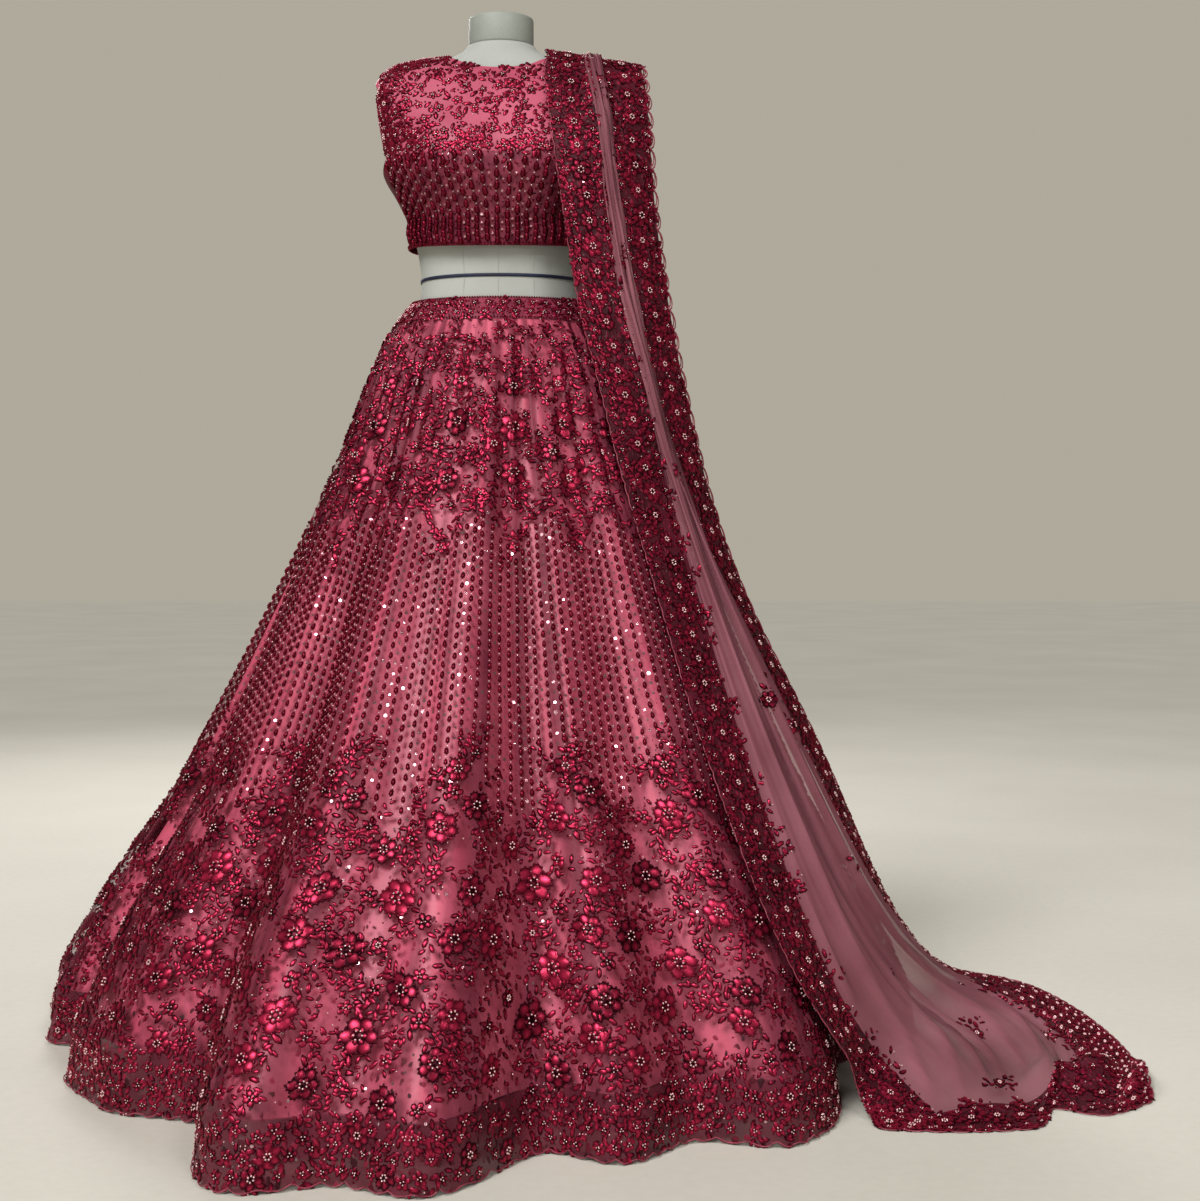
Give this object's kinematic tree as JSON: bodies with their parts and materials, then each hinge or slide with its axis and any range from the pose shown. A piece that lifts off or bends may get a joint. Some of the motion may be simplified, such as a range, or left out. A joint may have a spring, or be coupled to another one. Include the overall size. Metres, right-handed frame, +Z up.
{
  "type": "lehenga choli with dupatta on a dress form",
  "caption": "Floor-length embroidered lehenga skirt, cropped choli and sheer dupatta with a floor train, worn by a limbless dress form on a pole stand.",
  "frame": {"origin": "centre of the stand foot's underside, on the floor", "axes": "+Z up, the garment faces -Y, +X towards the wearer's left, where the dupatta's train runs out"},
  "size_m": [1.7052, 1.3283, 1.5708],
  "materials": {
    "embroidered_net": "beaded net over satin",
    "pink_satin": "soft sheen",
    "sheer_net": "fine net",
    "form_canvas": "plain woven canvas",
    "neck_cap_paint": "matt",
    "navy_tape": "woven tape",
    "stand_steel": "brushed",
    "stand_iron": "black enamel"
  },
  "bodies": {
    "root": {"lehenga_gore_01": "embroidered_net", "lehenga_gore_02": "embroidered_net", "lehenga_gore_03": "embroidered_net", "lehenga_gore_04": "embroidered_net", "lehenga_gore_05": "embroidered_net", "lehenga_gore_06": "embroidered_net", "lehenga_gore_07": "embroidered_net", "lehenga_gore_08": "embroidered_net", "lehenga_gore_09": "embroidered_net", "lehenga_gore_10": "embroidered_net", "lehenga_gore_11": "embroidered_net", "lehenga_gore_12": "embroidered_net", "lehenga_gore_13": "embroidered_net", "lehenga_gore_14": "embroidered_net", "lehenga_gore_15": "embroidered_net", "lehenga_gore_16": "embroidered_net", "lehenga_gore_17": "embroidered_net", "lehenga_gore_18": "embroidered_net", "lehenga_waistband": "embroidered_net", "lehenga_lining": "pink_satin", "choli_front": "embroidered_net", "choli_back_left": "embroidered_net", "choli_back_right": "embroidered_net", "dupatta_back_inner_border": "embroidered_net", "dupatta_back_net": "sheer_net", "dupatta_back_outer_border": "embroidered_net", "dupatta_shoulder_inner_border": "embroidered_net", "dupatta_shoulder_net": "sheer_net", "dupatta_shoulder_outer_border": "embroidered_net", "dupatta_front_inner_border": "embroidered_net", "dupatta_front_net": "sheer_net", "dupatta_front_outer_border": "embroidered_net", "dupatta_train_inner_border": "embroidered_net", "dupatta_train_net": "sheer_net", "dupatta_train_outer_border": "embroidered_net", "dupatta_back_end_border": "embroidered_net", "dupatta_train_end_border": "embroidered_net", "form_torso": "form_canvas", "form_neck_cap": "neck_cap_paint", "form_armhole_plate_left": "neck_cap_paint", "form_armhole_plate_right": "neck_cap_paint", "form_waist_tape": "navy_tape", "stand_collar": "stand_steel", "stand_pole": "stand_steel", "stand_foot": "stand_iron"}
  },
  "joints": []
}
